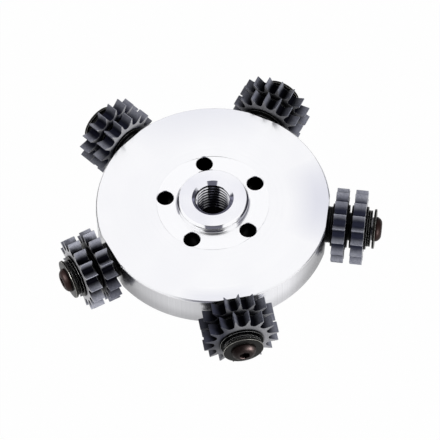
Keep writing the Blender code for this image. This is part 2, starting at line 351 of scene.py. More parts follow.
def rings_to_shape(rings, facets, radius_at=None):
    """Closed turned solid from a loop of (radius, height) rings.

    radius_at(radius, height, angle), if given, may vary a ring's radius as it goes round.
    """
    shape = bmesh.new()
    loops = []
    for radius, height in rings:
        loop = []
        for step in range(facets):
            angle = 2.0 * math.pi * step / facets
            reach = radius_at(radius, height, angle) if radius_at else radius
            across = reach * math.cos(angle)
            along = reach * math.sin(angle)
            loop.append(shape.verts.new((across, along, height)))
        loops.append(loop)
    bridge(shape, loops + loops[:1])
    bmesh.ops.recalc_face_normals(shape, faces=shape.faces)
    return shape


def fillet(before, corner, after, radius, steps=FILLET_STEPS):
    """Points of a round of about the given radius at a corner of a section."""
    corner = Vector(corner)
    back = (Vector(before) - corner).normalized() * radius
    on = (Vector(after) - corner).normalized() * radius
    points = []
    for step in range(steps + 1):
        t = step / steps
        point = corner + back * (1.0 - t) ** 2 + on * t**2
        points.append((point.x, point.y))
    return points


def rounded(section, radius):
    """The closed section with every corner rounded."""
    points = []
    for index, corner in enumerate(section):
        before = section[index - 1]
        after = section[(index + 1) % len(section)]
        points += fillet(before, corner, after, radius)
    return points


def finish_shading(obj, angle=32.0):
    """Smooth shading, with edges sharper than the angle in degrees left crisp."""
    obj.data.shade_smooth()
    obj.data.set_sharp_from_angle(angle=math.radians(angle))


def boolean_cut(obj, cutter):
    """Cuts at once, and deletes the cutter."""
    modifier = obj.modifiers.new("cut", "BOOLEAN")
    modifier.operation = "DIFFERENCE"
    modifier.solver = "EXACT"
    modifier.object = cutter
    bpy.context.view_layer.update()
    graph = bpy.context.evaluated_depsgraph_get()
    mesh = bpy.data.meshes.new_from_object(obj.evaluated_get(graph))
    obj.modifiers.clear()
    obj.data = mesh
    bpy.data.objects.remove(cutter)


def stand_for(obj, node, body, slot):
    """Puts the piece in its family, on its body and in place of its CAD node."""
    if node == "axle_screw_5":
        LIT["front_head"].objects.link(obj)
    elif node.startswith("axle_screw"):
        LIT["heads"].objects.link(obj)
    elif slot == "carbide":
        LIT["carbide"].objects.link(obj)
    elif node != "carrier_disc":
        LIT["steel"].objects.link(obj)
    if slot == "carbide" and node.endswith("_4"):
        LIT["left_carbide"].objects.link(obj)
    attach(obj, body)
    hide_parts(node)


# Node helpers


class Nodes:
    """Builds a material's node tree with short calls."""

    def __init__(self, tree):
        self.tree = tree
        tree.nodes.clear()

    def add(self, kind, inputs=(), **settings):
        node = self.tree.nodes.new(kind)
        for name, value in settings.items():
            setattr(node, name, value)
        for name, value in dict(inputs).items():
            self.set(node, name, value)
        return node

    def set(self, node, name, value):
        if isinstance(value, bpy.types.NodeSocket):
            self.tree.links.new(value, node.inputs[name])
        else:
            node.inputs[name].default_value = value

    def math(self, operation, first, second=0.0, third=0.0):
        node = self.add("ShaderNodeMath", {0: first, 1: second, 2: third}, operation=operation)
        return node.outputs[0]

    def length(self, first, second):
        """Length of the vector with these two components."""
        square = self.math("MULTIPLY", first, first)
        return self.math("SQRT", self.math("MULTIPLY_ADD", second, second, square))

    def ramp(self, value, low, high, out_low=0.0, out_high=1.0):
        node = self.add(
            "ShaderNodeMapRange",
            {"Value": value, "From Min": low, "From Max": high, "To Min": out_low, "To Max": out_high},
        )
        return node.outputs[0]

    def mix(self, factor, first, second):
        node = self.add("ShaderNodeMix", data_type="RGBA")
        for socket, value in ((0, factor), (6, first), (7, second)):
            self.set(node, socket, value)
        return node.outputs[2]

    def noise(self, vector, scale, detail=2.0, roughness=0.5):
        node = self.add(
            "ShaderNodeTexNoise",
            {"Vector": vector, "Scale": scale, "Detail": detail, "Roughness": roughness},
        )
        return node.outputs[0]

    def vector(self, x, y, z=0.0):
        return self.add("ShaderNodeCombineXYZ", {0: x, 1: y, 2: z}).outputs[0]

    def dot(self, first, second):
        node = self.add("ShaderNodeVectorMath", {0: first, 1: second}, operation="DOT_PRODUCT")
        return node.outputs["Value"]

    def bump(self, height, distance, strength):
        inputs = {"Height": height, "Distance": distance, "Strength": strength}
        return self.add("ShaderNodeBump", inputs).outputs[0]

    def blend(self, factor, first, second):
        """Mix of two shaders."""
        node = self.add("ShaderNodeMixShader", {0: factor, 1: first, 2: second})
        return node.outputs[0]

    def background(self, colour, strength):
        return self.add("ShaderNodeBackground", {0: colour, 1: strength}).outputs[0]

    def surface(self, shader):
        output = self.add("ShaderNodeOutputMaterial")
        self.tree.links.new(shader, output.inputs["Surface"])


def new_material(name):
    material = bpy.data.materials.new(name)
    material.use_nodes = True
    return material, Nodes(material.node_tree)


def disc_coordinates(nodes):
    """Object coordinates, height, distance from the spin axis and bearing about it."""
    coordinates = nodes.add("ShaderNodeTexCoord").outputs["Object"]
    x, y, z = nodes.add("ShaderNodeSeparateXYZ", {0: coordinates}).outputs
    return coordinates, z, nodes.length(x, y), nodes.math("ARCTAN2", y, x)


def fold(nodes, bearing, first):
    """The bearing measured from the nearest of five directions, and that direction."""
    turned = nodes.math("SUBTRACT", bearing, first)
    count = nodes.math("ROUND", nodes.math("DIVIDE", turned, SPACING))
    nearest = nodes.math("ADD", nodes.math("MULTIPLY", count, SPACING), first)
    return nodes.math("SUBTRACT", bearing, nearest), nearest


def axle_coordinates(nodes):
    """Object coordinates, place along the axle line, distance from it and its bearing."""
    coordinates, height, reach, bearing = disc_coordinates(nodes)
    off, nearest = fold(nodes, bearing, 0.0)
    along = nodes.math("MULTIPLY", reach, nodes.math("COSINE", off))
    aside = nodes.math("MULTIPLY", reach, nodes.math("SINE", off))
    return coordinates, along, nodes.length(aside, height), nearest


def at_station(nodes, nearest, number):
    """1 on the given station's pieces and 0 on the others."""
    middle = math.remainder(SPACING * (number - 1), 2.0 * math.pi)
    off = nodes.math("ABSOLUTE", nodes.math("SUBTRACT", nearest, middle))
    return nodes.ramp(off, 0.1, 0.2, 1.0, 0.0)


def shadowed(nodes, coordinates, along, nearest):
    """Mask of the darkest wheel parts: station 5's upper left and station 4's inner lower right."""
    height = nodes.add("ShaderNodeSeparateXYZ", {0: coordinates}).outputs[2]
    back = nodes.math("MULTIPLY", nodes.math("SINE", nearest), -1.0)
    tangent = nodes.vector(back, nodes.math("COSINE", nearest))
    aside = nodes.dot(coordinates, tangent)
    upper = nodes.ramp(height, -7.0 * MM, -1.0 * MM)
    left = nodes.math("MULTIPLY", upper, nodes.ramp(aside, -1.0 * MM, -8.0 * MM))
    inner = nodes.ramp(along, 58.6 * MM, 58.0 * MM)
    right = nodes.math("MULTIPLY", inner, nodes.ramp(aside, 7.0 * MM, 13.0 * MM, 0.0, 0.7))
    fifth = nodes.math("MULTIPLY", at_station(nodes, nearest, 5), left)
    fourth = nodes.math("MULTIPLY", at_station(nodes, nearest, 4), right)
    return nodes.math("MAXIMUM", fifth, fourth)


def facing(nodes, nearest):
    """How far the surface faces along its axle line, from 0 to 1, and a mask of its edges."""
    normal = nodes.add("ShaderNodeTexCoord").outputs["Normal"]
    axis = nodes.vector(nodes.math("COSINE", nearest), nodes.math("SINE", nearest))
    share = nodes.math("ABSOLUTE", nodes.dot(normal, axis))
    edge = nodes.math("MULTIPLY", nodes.ramp(share, 0.35, 0.5), nodes.ramp(share, 0.92, 0.8))
    return share, edge


def rim_tone(nodes, bearing):
    """Painted reflection and shade on the rim round the disc: greyer beside stations 4 and 1, bright
    right of station 5.
    """
    first = RIM_REFLECTION_TONES[0][0]
    ramp = nodes.add("ShaderNodeValToRGB")
    stops = ramp.color_ramp.elements
    while len(stops) > 1:
        stops.remove(stops[-1])
    for degrees, grey in RIM_REFLECTION_TONES:
        share = (degrees - first) / 360.0
        stop = stops.new(share) if share else stops[0]
        stop.position = share
        stop.color = (grey * 0.97, grey * 0.97, grey, 1.0)
    turned = nodes.math("SUBTRACT", bearing, math.radians(first - 360.0))
    nodes.set(ramp, "Fac", nodes.math("FRACT", nodes.math("DIVIDE", turned, 2.0 * math.pi)))
    return ramp.outputs[0]


def fan(nodes, bearing, middle, width):
    """A soft sector about a bearing in degrees, as a turned face shades."""
    off = nodes.math("SUBTRACT", bearing, math.radians(middle))
    return nodes.ramp(nodes.math("COSINE", off), math.cos(math.radians(width)), 1.0)


def sheen_of_face(nodes, radius, bearing):
    """Where painted shade lies on the turned face, in soft fans: to the right, at the back and at the
    near edge.
    """
    right = nodes.ramp(radius, 32.0 * MM, 44.0 * MM)
    right = nodes.math("MULTIPLY", fan(nodes, bearing, 8.0, 28.0), right)
    back = nodes.ramp(radius, 30.0 * MM, 48.0 * MM)
    back = nodes.math("MULTIPLY", fan(nodes, bearing, 106.0, 40.0), back)
    near = nodes.ramp(radius, 43.0 * MM, 47.0 * MM)
    near = nodes.math("MULTIPLY", fan(nodes, bearing, 280.0, 20.0), near)
    shade = nodes.math("ADD", right, nodes.math("MULTIPLY", back, 0.6))
    return nodes.math("ADD", shade, nodes.math("MULTIPLY", near, 0.6))


def face_colour(nodes, coordinates, radius, bearing, lines):
    """The turned face with its painted shade, the brighter faced ring, the boss top in painted shade
    and painted dark reflections in arcs on its wall.
    """
    cloud = nodes.noise(coordinates, 45.0, 3.0)
    base = nodes.mix(nodes.ramp(cloud, 0.35, 0.7), BRIGHT_METAL, PALE_METAL)
    base = nodes.mix(sheen_of_face(nodes, radius, bearing), base, LILAC_PAINTED_SHADE)
    faced = nodes.ramp(radius, FACING_RADIUS, FACING_RADIUS + 0.4 * MM, 1.0, 0.0)
    base = nodes.mix(faced, base, FACED_METAL)
    # Painted shade on the boss top, in soft lilac clouds
    capped = nodes.ramp(radius, BOSS_TOP_RADIUS - 0.2 * MM, BOSS_TOP_RADIUS, 1.0, 0.0)
    boss_shade = nodes.mix(nodes.ramp(cloud, 0.35, 0.65), BOSS_SHADE_DARK, BOSS_SHADE_LIGHT)
    base = nodes.mix(capped, base, boss_shade)
    tone = nodes.mix(nodes.ramp(lines, 0.5, 0.9, 0.0, 0.4), base, TOOL_LINE)
    # Painted dark reflections in arcs on the boss wall, to the right and the left
    wall = nodes.ramp(radius, 14.6 * MM, 15.0 * MM)
    wall = nodes.math("MULTIPLY", wall, nodes.ramp(radius, 15.5 * MM, 16.1 * MM, 1.0, 0.0))
    right_arc = fan(nodes, bearing, -12.0, 30.0)
    left_arc = fan(nodes, bearing, 188.0, 24.0)
    arcs = nodes.ramp(nodes.math("MAXIMUM", right_arc, left_arc), 0.0, 0.35)
    arcs = nodes.math("MULTIPLY", nodes.math("MULTIPLY", wall, arcs), 0.8)
    return nodes.mix(arcs, tone, WALL_PAINTED_REFLECTION)


def rim_colour(nodes, height, radius, bearing, tone):
    """The rim's side below its chamfer, in painted greys of reflection and shade, with fine upright
    streaks.
    """
    rim = nodes.ramp(radius, 49.4 * MM, 49.8 * MM)
    rim = nodes.math("MULTIPLY", rim, nodes.ramp(height, 7.3 * MM, 7.0 * MM))
    turned = nodes.vector(nodes.math("MULTIPLY", bearing, 0.05), 0.0)
    streaks = nodes.noise(turned, 1600.0, 3.0, 0.6)
    streaks = nodes.ramp(streaks, 0.3, 0.75, 0.0, 0.2)
    greyed = nodes.mix(streaks, rim_tone(nodes, bearing), RIM_STREAK)
    return nodes.mix(rim, tone, greyed)


def hole_colour(nodes, height, radius, bearing, tone):
    """Painted shade on the bolt holes' walls, darker deeper in, and bright crests and roots in painted
    shade for the thread.
    """
    off = fold(nodes, bearing, SPACING / 2.0)[0]
    across = nodes.math("MULTIPLY", radius, nodes.math("SINE", off))
    out = nodes.math("MULTIPLY", radius, nodes.math("COSINE", off))
    out = nodes.math("SUBTRACT", out, BOLT_CIRCLE_RADIUS)
    from_hole = nodes.length(across, out)
    off_wall = nodes.math("SUBTRACT", from_hole, BOLT_HOLE_RADIUS)
    drilled = nodes.ramp(off_wall, 0.02 * MM, 0.1 * MM, 1.0, 0.0)
    depth = nodes.math("SUBTRACT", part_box("carrier_disc")[1].z, height)
    beyond = nodes.math("SUBTRACT", nodes.math("ADD", radius, depth), COUNTERSINK_RADIUS)
    threaded = nodes.ramp(beyond, 0.04 * MM, 0.12 * MM)
    threaded = nodes.math("MULTIPLY", threaded, nodes.ramp(radius, 8.1 * MM, 8.2 * MM, 1.0, 0.0))
    # Painted shade: the crests grow darker deeper in the bore
    crest = nodes.ramp(radius, 7.05 * MM, 7.45 * MM, 1.0, 0.0)
    crest = nodes.math("MULTIPLY", crest, nodes.ramp(depth, 3.0 * MM, 12.0 * MM, 1.0, 0.15))
    root = nodes.mix(crest, THREAD_ROOT_SHADE, THREAD_CREST)
    # Painted shade on the bolt holes' walls, darker further down
    bottom = nodes.ramp(depth, BOSS_HEIGHT + 0.5 * MM, BOSS_HEIGHT + 4.0 * MM)
    hole_shade = nodes.mix(bottom, HOLE_MOUTH_SHADE, HOLE_DEPTH_SHADE)
    return nodes.mix(threaded, nodes.mix(drilled, tone, hole_shade), root)


def turned_aluminium():
    """Bright aluminium with fine concentric tool marks, an anisotropic sheen and soft fans of painted
    shade.
    """
    material, nodes = new_material("turned_aluminium_visual")
    coordinates, height, radius, bearing = disc_coordinates(nodes)
    section = nodes.vector(radius, height)
    fine = nodes.noise(section, 6500.0, 3.0, 0.6)
    coarse = nodes.noise(section, 900.0, 2.0)
    lines = nodes.math("ADD", fine, nodes.math("MULTIPLY", coarse, 0.3))
    tone = face_colour(nodes, coordinates, radius, bearing, lines)
    tone = rim_colour(nodes, height, radius, bearing, tone)
    colour = hole_colour(nodes, height, radius, bearing, tone)
    # The bore mirrors itself again and again, so its reflections are painted a lilac grey with a faint
    # painted glow
    again = nodes.add("ShaderNodeLightPath").outputs["Is Glossy Ray"]
    again = nodes.math("MULTIPLY", again, nodes.ramp(radius, 9.0 * MM, 9.2 * MM, 1.0, 0.0))
    colour = nodes.mix(again, colour, BORE_PAINTED_REFLECTION)
    outer = nodes.ramp(radius, 15.6 * MM, 16.6 * MM)
    roughness = nodes.math("MULTIPLY_ADD", outer, 0.16, 0.08)
    roughness = nodes.math("ADD", roughness, nodes.ramp(lines, 0.5, 1.1, 0.0, 0.05))
    back = nodes.math("MULTIPLY", nodes.math("SINE", bearing), -1.0)
    shader = nodes.add(
        "ShaderNodeBsdfPrincipled",
        {
            "Base Color": colour,
            "Metallic": 1.0,
            "Roughness": roughness,
            "Anisotropic": nodes.math("MULTIPLY", outer, 0.5),
            # The bore's painted glow, in its reflections
            "Emission Color": BORE_PAINTED_GLOW,
            "Emission Strength": nodes.math("MULTIPLY", again, 0.11),
            "Normal": nodes.bump(lines, 0.000003, 0.3),
            "Tangent": nodes.vector(back, nodes.math("COSINE", bearing)),
        },
    )
    nodes.surface(shader.outputs[0])
    return material


def wheel_pit(nodes, nearest):
    """Painted shade of a gullet's bottom, lighter where stations 1 and 3 are more evenly lit."""
    third = nodes.ramp(nearest, 2.3, 2.4, 0.0, 0.6)
    even = nodes.math("MAXIMUM", at_station(nodes, nearest, 1), third)
    return nodes.mix(even, GULLET_SHADE, EVEN_GULLET_SHADE)


def sintered_carbide():
    """Dark blue-grey pressed carbide: matte flanks, ground side faces, edges lightened for wear and as
    painted highlight, painted shade in hollows.
    """
    material, nodes = new_material("carbide_visual")
    coordinates, along, radius, nearest = axle_coordinates(nodes)
    grain = nodes.noise(coordinates, 5200.0, 4.0, 0.65)
    cloud = nodes.noise(coordinates, 420.0, 3.0)
    speckle = nodes.noise(coordinates, 1700.0, 3.0, 0.6)
    pressing = nodes.noise(nodes.vector(along, 0.0), 3500.0, 2.0)
    # The edges are lightened, for wear and as a painted highlight
    share, worn_and_glinting = facing(nodes, nearest)
    ground = nodes.ramp(share, 0.85, 0.97)
    flank = nodes.mix(nodes.ramp(cloud, 0.3, 0.7), FLANK_DARK, FLANK_LIGHT)
    side = nodes.mix(nodes.ramp(grain, 0.35, 0.7), SIDE_DARK, SIDE_LIGHT)
    # Painted shade: gullet bottoms and hollows between the wheels darken, from the radius and from
    # ambient occlusion
    out_of_shade = nodes.ramp(radius, 11.9 * MM, 15.0 * MM)
    out_of_shade = nodes.math("MAXIMUM", out_of_shade, ground)
    hollow = nodes.add("ShaderNodeAmbientOcclusion", {"Distance": 4.0 * MM}, samples=12)
    open_share = nodes.ramp(hollow.outputs["AO"], 0.3, 0.8)
    out_of_shade = nodes.math("MULTIPLY", out_of_shade, nodes.math("MULTIPLY", open_share, open_share))
    # Painted shade: stations 2 and 5 are darker than the others
    ends = nodes.math("MAXIMUM", at_station(nodes, nearest, 2), at_station(nodes, nearest, 5))
    station_shade_share = nodes.ramp(ground, 0.0, 1.0, 0.5, 0.25)
    whole = nodes.mix(ground, flank, side)
    whole = nodes.mix(nodes.math("MULTIPLY", ends, station_shade_share), whole, STATION_SHADE)
    whole = nodes.mix(nodes.ramp(speckle, 0.5, 0.68, 0.0, 0.45), whole, SPECKLE)
    dark = nodes.math("MULTIPLY", shadowed(nodes, coordinates, along, nearest), 0.9)
    whole = nodes.mix(dark, whole, SHADOW)
    base = nodes.mix(out_of_shade, wheel_pit(nodes, nearest), whole)
    relief = nodes.math("ADD", grain, nodes.math("MULTIPLY", pressing, 0.5))
    shader = nodes.add(
        "ShaderNodeBsdfPrincipled",
        {
            "Base Color": nodes.mix(nodes.math("MULTIPLY", worn_and_glinting, 0.35), base, EDGE_WEAR_AND_GLINT),
            "Metallic": 0.12,
            "Specular IOR Level": nodes.math("MULTIPLY", out_of_shade, 0.3),
            "Roughness": nodes.ramp(grain, 0.3, 0.7, 0.34, 0.44),
            "Normal": nodes.bump(relief, 0.00002, 0.35),
        },
    )
    nodes.surface(shader.outputs[0])
    return material


def oiled_steel(name, finish):
    """A blackened or bronzed steel, turned, with light bare metal on its edges, for wear and for
    painted glints.
    """
    material, nodes = new_material(name)
    coordinates, along, radius, nearest = axle_coordinates(nodes)
    marks = nodes.noise(nodes.vector(radius, along), 6500.0, 2.0, 0.6)
    mottle = nodes.noise(coordinates, 900.0, 4.0, 0.6)
    # Edges show light bare metal, for wear and for painted glints
    worn_and_glinting = facing(nodes, nearest)[1]
    patchy = nodes.math("MULTIPLY", worn_and_glinting, nodes.ramp(mottle, 0.3, 0.5, 0.7, 1.0))
    colour = finish["colour"]
    darker = tuple(channel * 0.6 for channel in colour[:3]) + (1.0,)
    base = nodes.mix(nodes.ramp(mottle, 0.3, 0.7), darker, colour)
    bare_and_glint = nodes.math("MULTIPLY", patchy, finish["glint_wear"])
    roughness = finish["roughness"]
    shader = nodes.add(
        "ShaderNodeBsdfPrincipled",
        {
            "Base Color": nodes.mix(bare_and_glint, base, finish["glint_wear_colour"]),
            "Metallic": nodes.math("MAXIMUM", bare_and_glint, finish.get("metallic", 0.0)),
            "Roughness": nodes.ramp(mottle, 0.3, 0.75, roughness * 0.8, roughness * 1.25),
            "Specular IOR Level": finish.get("sheen", 0.08),
            "Specular Tint": finish.get("tint", (1.0, 1.0, 1.0, 1.0)),
            "Normal": nodes.bump(marks, 0.000006, 0.3),
        },
    )
    nodes.surface(shader.outputs[0])
    return material


# Carrier disc


def thread_radius(height, angle):
    """Wall of the internal thread: a flat crest at the minor radius and 60 degree flanks."""
    phase = (height / THREAD_PITCH - angle / (2.0 * math.pi)) % 1.0
    depth = THREAD_MAJOR_RADIUS - THREAD_MINOR_RADIUS
    rise = min(phase, 1.0 - phase) * 2.0
    crest, root = 0.25, 0.125
    share = (rise - crest) / (1.0 - crest - root)
    return THREAD_MINOR_RADIUS + depth * min(max(share, 0.0), 1.0)


def bore_radius(height, angle, low, high):
    """The thread, opened out by the countersink at each end."""
    mouth = COUNTERSINK_RADIUS - min(high - height, height - low)
    return max(thread_radius(height, angle), mouth)


def disc_rings(low, high, radius):
    """Rings down the outside of the disc to its underside, as (radius, height)."""
    top = high - BOSS_HEIGHT
    foot = top - FACING_DEPTH
    step = (FACING_RADIUS + FACING_DEPTH, top)
    inner = radius - RIM_CHAMFER
    mouth = (COUNTERSINK_RADIUS, high)
    boss_edge = (BOSS_TOP_RADIUS, high)
    shoulder = (BOSS_RADIUS, high - (BOSS_RADIUS - BOSS_TOP_RADIUS))
    boss_foot = (BOSS_RADIUS, foot)
    facing_edge = (FACING_RADIUS, foot)
    rim_top = (inner, top)
    rim_under_top = (radius, top - RIM_CHAMFER)
    rim_over_low = (radius, low + RIM_CHAMFER)
    rim_low = (inner, low)
    rings = [((COUNTERSINK_RADIUS + BOSS_TOP_RADIUS) / 2.0, high)]
    rings += fillet(mouth, boss_edge, shoulder, EDGE_ROUND)
    rings += fillet(boss_edge, shoulder, boss_foot, BOSS_EDGE_ROUND)
    rings += fillet((BOSS_RADIUS, high), boss_foot, (step[0], foot), BOSS_FILLET, 6)
    rings += fillet(boss_foot, facing_edge, step, EDGE_ROUND, 2)
    rings += fillet(facing_edge, step, (radius, top), EDGE_ROUND, 2)
    rings += [((step[0] + radius) / 2.0, top)]
    rings += fillet(step, rim_top, rim_under_top, EDGE_ROUND, 2)
    rings += fillet(rim_top, rim_under_top, (radius, low), EDGE_ROUND, 2)
    rings += fillet((radius, top), rim_over_low, rim_low, EDGE_ROUND, 2)
    rings += fillet(rim_over_low, rim_low, (COUNTERSINK_RADIUS, low), EDGE_ROUND, 2)
    return rings


def build_disc(material):
    low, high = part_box("carrier_disc")
    vertices = frame["nodes"]["carrier_disc"].data.vertices
    radius = max(math.hypot(vertex.co.x, vertex.co.y) for vertex in vertices)
    rings = disc_rings(low.z, high.z, radius)
    turns = (high.z - low.z) / THREAD_PITCH
    count = math.ceil(turns * THREAD_RINGS_PER_TURN)
    # A radius of 0 marks a ring of the threaded bore
    bore = [(0.0, low.z + (high.z - low.z) * step / count) for step in range(count + 1)]

    def radius_at(ring_radius, height, angle):
        if ring_radius > 0.0:
            return ring_radius
        return bore_radius(height, angle, low.z, high.z)

    shape = rings_to_shape(rings + bore, DISC_FACETS, radius_at)
    disc = add_mesh("carrier_disc_turned", shape, material)
    boolean_cut(disc, flats_cutter(low.z, high.z, radius))
    boolean_cut(disc, bolt_holes_cutter(low.z, high.z - BOSS_HEIGHT))
    boolean_cut(disc, tapped_holes_cutter())
    finish_shading(disc, 28.0)
    stand_for(disc, "carrier_disc", "root", "turned_aluminium")


def flats_cutter(low, high, radius):
    """Blocks that leave the flats that the stations sit on."""
    shape = bmesh.new()
    for station in STATIONS:
        middle = station.axis * (FLAT_DISTANCE + FLAT_CUT_DEPTH / 2.0)
        turned = Matrix((station.axis, station.tangent, UP)).transposed().to_4x4()
        size = Matrix.Diagonal((FLAT_CUT_DEPTH, radius, (high - low) * 2.0, 1.0))
        bmesh.ops.create_cube(shape, size=1.0, matrix=Matrix.Translation(middle) @ turned @ size)
    return add_mesh("flats_cutter", shape, MATERIALS["turned_aluminium"])


def bolt_holes_cutter(low, top):
    """Through holes with a small chamfer at both faces, midway between the stations."""
    wide = BOLT_HOLE_RADIUS + BOLT_HOLE_CHAMFER + CUTTER_SPARE
    mouth = top - FACING_DEPTH
    sections = [
        (wide, mouth + CUTTER_SPARE),
        (BOLT_HOLE_RADIUS, mouth - BOLT_HOLE_CHAMFER),
        (BOLT_HOLE_RADIUS, low + BOLT_HOLE_CHAMFER),
        (wide, low - CUTTER_SPARE),
    ]
    combined = bmesh.new()
    for station in STATIONS:
        direction = Matrix.Rotation(SPACING / 2.0, 3, "Z") @ station.axis
        middle = direction * BOLT_CIRCLE_RADIUS
        loops = []
        for reach, height in sections:
            loops.append(ring(combined, reach, height, HOLE_FACETS, middle))
        bridge(combined, loops)
        cap_ends(combined, loops)
    return add_mesh("bolt_holes_cutter", combined, MATERIALS["turned_aluminium"])


def tapped_holes_cutter():
    shape = bmesh.new()
    for station in STATIONS:
        start = station.measure("axle_screw")[0] - TAPPED_HOLE_ROOM
        length = FLAT_DISTANCE + CUTTER_SPARE - start
        place = station.matrix @ Matrix.Translation((0.0, 0.0, start + length / 2.0))
        bmesh.ops.create_cone(
            shape,
            cap_ends=True,
            segments=HOLE_FACETS,
            radius1=TAPPED_HOLE_RADIUS,
            radius2=TAPPED_HOLE_RADIUS,
            depth=length,
            matrix=place,
        )
    return add_mesh("tapped_holes_cutter", shape, MATERIALS["turned_aluminium"])


# Star wheels


def tooth_outline(tip_radius):
    """A tip, its flank, the round gullet and the next flank, as (radius, angle) points."""
    pitch = 2.0 * math.pi / TEETH
    land = TIP_LAND / 2.0 / tip_radius
    centre = ROOT_RADIUS + GULLET_RADIUS
    ahead = tip_radius * math.cos(pitch / 2.0 - land) - centre
    across = tip_radius * math.sin(pitch / 2.0 - land)
    touch = math.atan2(across, ahead) + math.acos(GULLET_RADIUS / math.hypot(ahead, across))
    gullet = []
    for step in range(GULLET_STEPS + 1):
        turn = -touch + (2.0 * touch - 2.0 * math.pi) * step / GULLET_STEPS
        ahead_here = centre + GULLET_RADIUS * math.cos(turn)
        gullet.append(Vector((ahead_here, GULLET_RADIUS * math.sin(turn))))
    corner = Vector((centre + ahead, -across))
    points = []
    for step in range(FLANK_STEPS):
        points.append(corner.lerp(gullet[0], step / FLANK_STEPS))
    points += gullet
    for step in range(1, FLANK_STEPS + 1):
        far = gullet[-1].lerp(Vector((corner.x, -corner.y)), step / FLANK_STEPS)
        points.append(far)
    return [(point.length, pitch / 2.0 + math.atan2(point.y, point.x)) for point in points]


def wheel_shape(tip_radius, thickness, seed):
    """Flat faces as rings of quads between the bore and the toothed outline."""
    outline = []
    for tooth in range(TEETH):
        start = 2.0 * math.pi * tooth / TEETH
        for radius, angle in tooth_outline(tip_radius):
            outline.append((radius, start + angle))
    half = thickness / 2.0
    mouth = RUNNING_BORE_RADIUS + RUNNING_BORE_CHAMFER
    # Each section's radius, or None for the toothed outline itself, and its height
    sections = [
        (None, half),
        (None, -half),
        (NECK_RADIUS, -half),
        (mouth, -half),
        (RUNNING_BORE_RADIUS, RUNNING_BORE_CHAMFER - half),
        (RUNNING_BORE_RADIUS, half - RUNNING_BORE_CHAMFER),
        (mouth, half),
        (NECK_RADIUS, half),
    ]
    shape = bmesh.new()
    loops = []
    for fixed_radius, height in sections:
        loop = []
        for radius, angle in outline:
            reach = fixed_radius or radius - chip(radius, angle, seed)
            across = reach * math.cos(angle)
            along = reach * math.sin(angle)
            loop.append(shape.verts.new((across, along, height)))
        loops.append(loop)
    bridge(shape, loops + loops[:1])
    bmesh.ops.recalc_face_normals(shape, faces=shape.faces)
    return shape


def chip(radius, angle, seed):
    """A little unevenness towards the tips, always inwards."""
    where = Vector((radius * math.cos(angle), radius * math.sin(angle), seed)) * CHIP_SCALE
    share = (radius - ROOT_RADIUS) / TOOTH_HEIGHT
    return CHIP_DEPTH * share * (0.5 + 0.5 * noise.noise(where))


def build_wheel(station, kind, material, seed):
    start, end, _, outer = station.measure(kind)
    shape = wheel_shape(outer, end - start, seed)
    turn = Matrix.Rotation(station.rest_angle(kind), 4, "Z")
    place = station.matrix @ Matrix.Translation((0.0, 0.0, (start + end) / 2.0)) @ turn
    wheel = add_mesh(kind + station.suffix + "_ground", shape, material, place)
    bevel = wheel.modifiers.new("Edges", "BEVEL")
    bevel.width = WHEEL_EDGE
    bevel.segments = 2
    bevel.limit_method = "ANGLE"
    bevel.angle_limit = math.radians(35.0)
    bevel.harden_normals = True
    finish_shading(wheel)
    body = kind.replace("_star", "") + station.suffix
    stand_for(wheel, kind + station.suffix, body, "carbide")


# Turned pieces on the axle line


def build_turned(station, kind, section, material, slot, corner):
    """A turned piece from its section: the two that the screw clamps stay with the disc."""
    shape = rings_to_shape(rounded(section, corner), RING_FACETS)
    piece = add_mesh(kind + station.suffix + "_turned", shape, MATERIALS[material], station.matrix)
    finish_shading(piece)
    body = "root" if kind in ("head_washer", "sleeve") else "float_stack" + station.suffix
    stand_for(piece, kind + station.suffix, body, slot)


def washer_section(station, kind):
    start, end, inner, outer = station.measure(kind)
    return [(outer, end), (outer, start), (inner, start), (inner, end)]


def grooved_section(station, kind):
    """A ring with a narrow groove round its edge, as two thin rings would show."""
    start, end, inner, outer = station.measure(kind)
    middle = (start + end) / 2.0
    return [
        (outer, end),
        (outer, middle + SPACER_GROOVE / 2.0),
        (outer - SPACER_GROOVE, middle),
        (outer, middle - SPACER_GROOVE / 2.0),
        (outer, start),
        (inner, start),
        (inner, end),
    ]


def spool_section(station, kind):
    """A core with a flange at each end."""
    start, end, inner, outer = station.measure(kind)
    return [
        (outer, end),
        (outer, end - SPOOL_FLANGE),
        (SPOOL_CORE_RADIUS, end - SPOOL_FLANGE),
        (SPOOL_CORE_RADIUS, start + SPOOL_FLANGE),
        (outer, start + SPOOL_FLANGE),
        (outer, start),
        (inner, start),
        (inner, end),
    ]


def screw_rings(start, end, head_radius, seat):
    """Button head and shank down the outer side, closed by tiny rings on the axis."""
    rim = seat + HEAD_RIM
    rings = [(AXIS_RING_RADIUS, end)]
    for step in range(CROWN_STEPS + 1):
        turn = CROWN_ARC * step / CROWN_STEPS
        out = math.sin(turn) / math.sin(CROWN_ARC)
        down = (1.0 - math.cos(turn)) / (1.0 - math.cos(CROWN_ARC))
        radius = CROWN_RADIUS + (head_radius - CROWN_RADIUS) * out
        rings.append((radius, end - (end - rim) * down))
    under_head = (head_radius, seat)
    neck = (SHANK_RADIUS, seat)
    rings += fillet((head_radius, rim), under_head, neck, HEAD_ROUND)
    rings += fillet(under_head, neck, (SHANK_RADIUS, start), NECK_ROUND)
    rings += [(SHANK_RADIUS, start + SHANK_CHAMFER), (SHANK_RADIUS - SHANK_CHAMFER, start)]
    return rings + [(AXIS_RING_RADIUS, start)]


